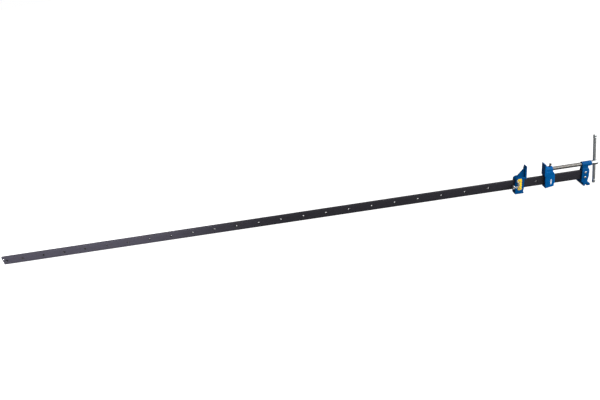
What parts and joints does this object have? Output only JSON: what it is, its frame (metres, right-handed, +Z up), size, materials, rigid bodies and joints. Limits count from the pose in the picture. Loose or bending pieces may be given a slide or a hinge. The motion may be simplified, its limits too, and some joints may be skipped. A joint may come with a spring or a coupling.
{
  "type": "sash clamp",
  "caption": "Long sash clamp: drilled flat bar, riveted cast head with screw and tommy bar, screw-driven sliding jaw, and a pin-located tail jaw on a chain",
  "frame": {"origin": "On the ground, under the middle of the clamp's length and of its width; the head's foot and the tail jaw stand on the ground", "axes": "+X along the bar, from its far end to the screw's hub; +Y across the bar; +Z up"},
  "size_m": [2.1154, 0.046, 0.1655],
  "materials": {
    "bar_steel": "dark mill finish with a thin oil film",
    "bright_steel": "bright plated",
    "screw_steel": "turned and lightly greased",
    "dark_steel": "blackened",
    "blue_paint": "semi-gloss enamel on a sand casting",
    "yellow_label": "printed self-adhesive film"
  },
  "bodies": {
    "frame": {"bar": "bar_steel", "end_stop_pin": "bright_steel", "head_casting": "blue_paint", "head_rivet_upper": "bright_steel", "head_rivet_lower": "bright_steel"},
    "moving_jaw": {"moving_jaw_casting": "blue_paint", "screw_retaining_pin": "dark_steel"},
    "screw": {"clamp_screw": "screw_steel"},
    "tommy": {"tommy_bar": "bright_steel", "tommy_cap_upper": "bright_steel", "tommy_cap_lower": "bright_steel"},
    "tail_jaw": {"tail_jaw_casting": "blue_paint", "tail_jaw_label": "yellow_label", "chain_eye": "bright_steel", "chain_link_1": "bright_steel", "chain_link_2": "bright_steel", "chain_link_3": "bright_steel", "chain_link_4": "bright_steel"},
    "pin": {"locating_pin": "bright_steel", "pin_ring": "bright_steel", "chain_link_5": "bright_steel", "chain_link_6": "bright_steel", "chain_link_7": "bright_steel", "chain_link_8": "bright_steel"}
  },
  "joints": [
    {"name": "jaw_slide", "type": "slide", "parent": "frame", "child": "moving_jaw", "axis": [1, 0, 0], "range_m": [0, 0.08]},
    {"name": "screw_turn", "type": "hinge", "parent": "moving_jaw", "child": "screw", "pos_m": [0.98, 0, 0.071], "axis": [1, 0, 0], "range_deg": [0, 7200]},
    {"name": "tommy_slide", "type": "slide", "parent": "screw", "child": "tommy", "axis": [0, 0.1478, 0.989], "range_m": [-0.075, 0.051]},
    {"name": "tail_slide", "type": "slide", "parent": "frame", "child": "tail_jaw", "axis": [1, 0, 0], "range_m": [-1.44, 0]},
    {"name": "pin_pull", "type": "slide", "parent": "tail_jaw", "child": "pin", "axis": [0, -1, 0], "range_m": [0, 0.016], "deforming": ["chain_link_1", "chain_link_2", "chain_link_3", "chain_link_4", "chain_link_5", "chain_link_6", "chain_link_7", "chain_link_8"]}
  ],
  "couplings": [
    {"joint": "jaw_slide", "follows": "screw_turn", "m_per_rad": 0.0006366}
  ]
}
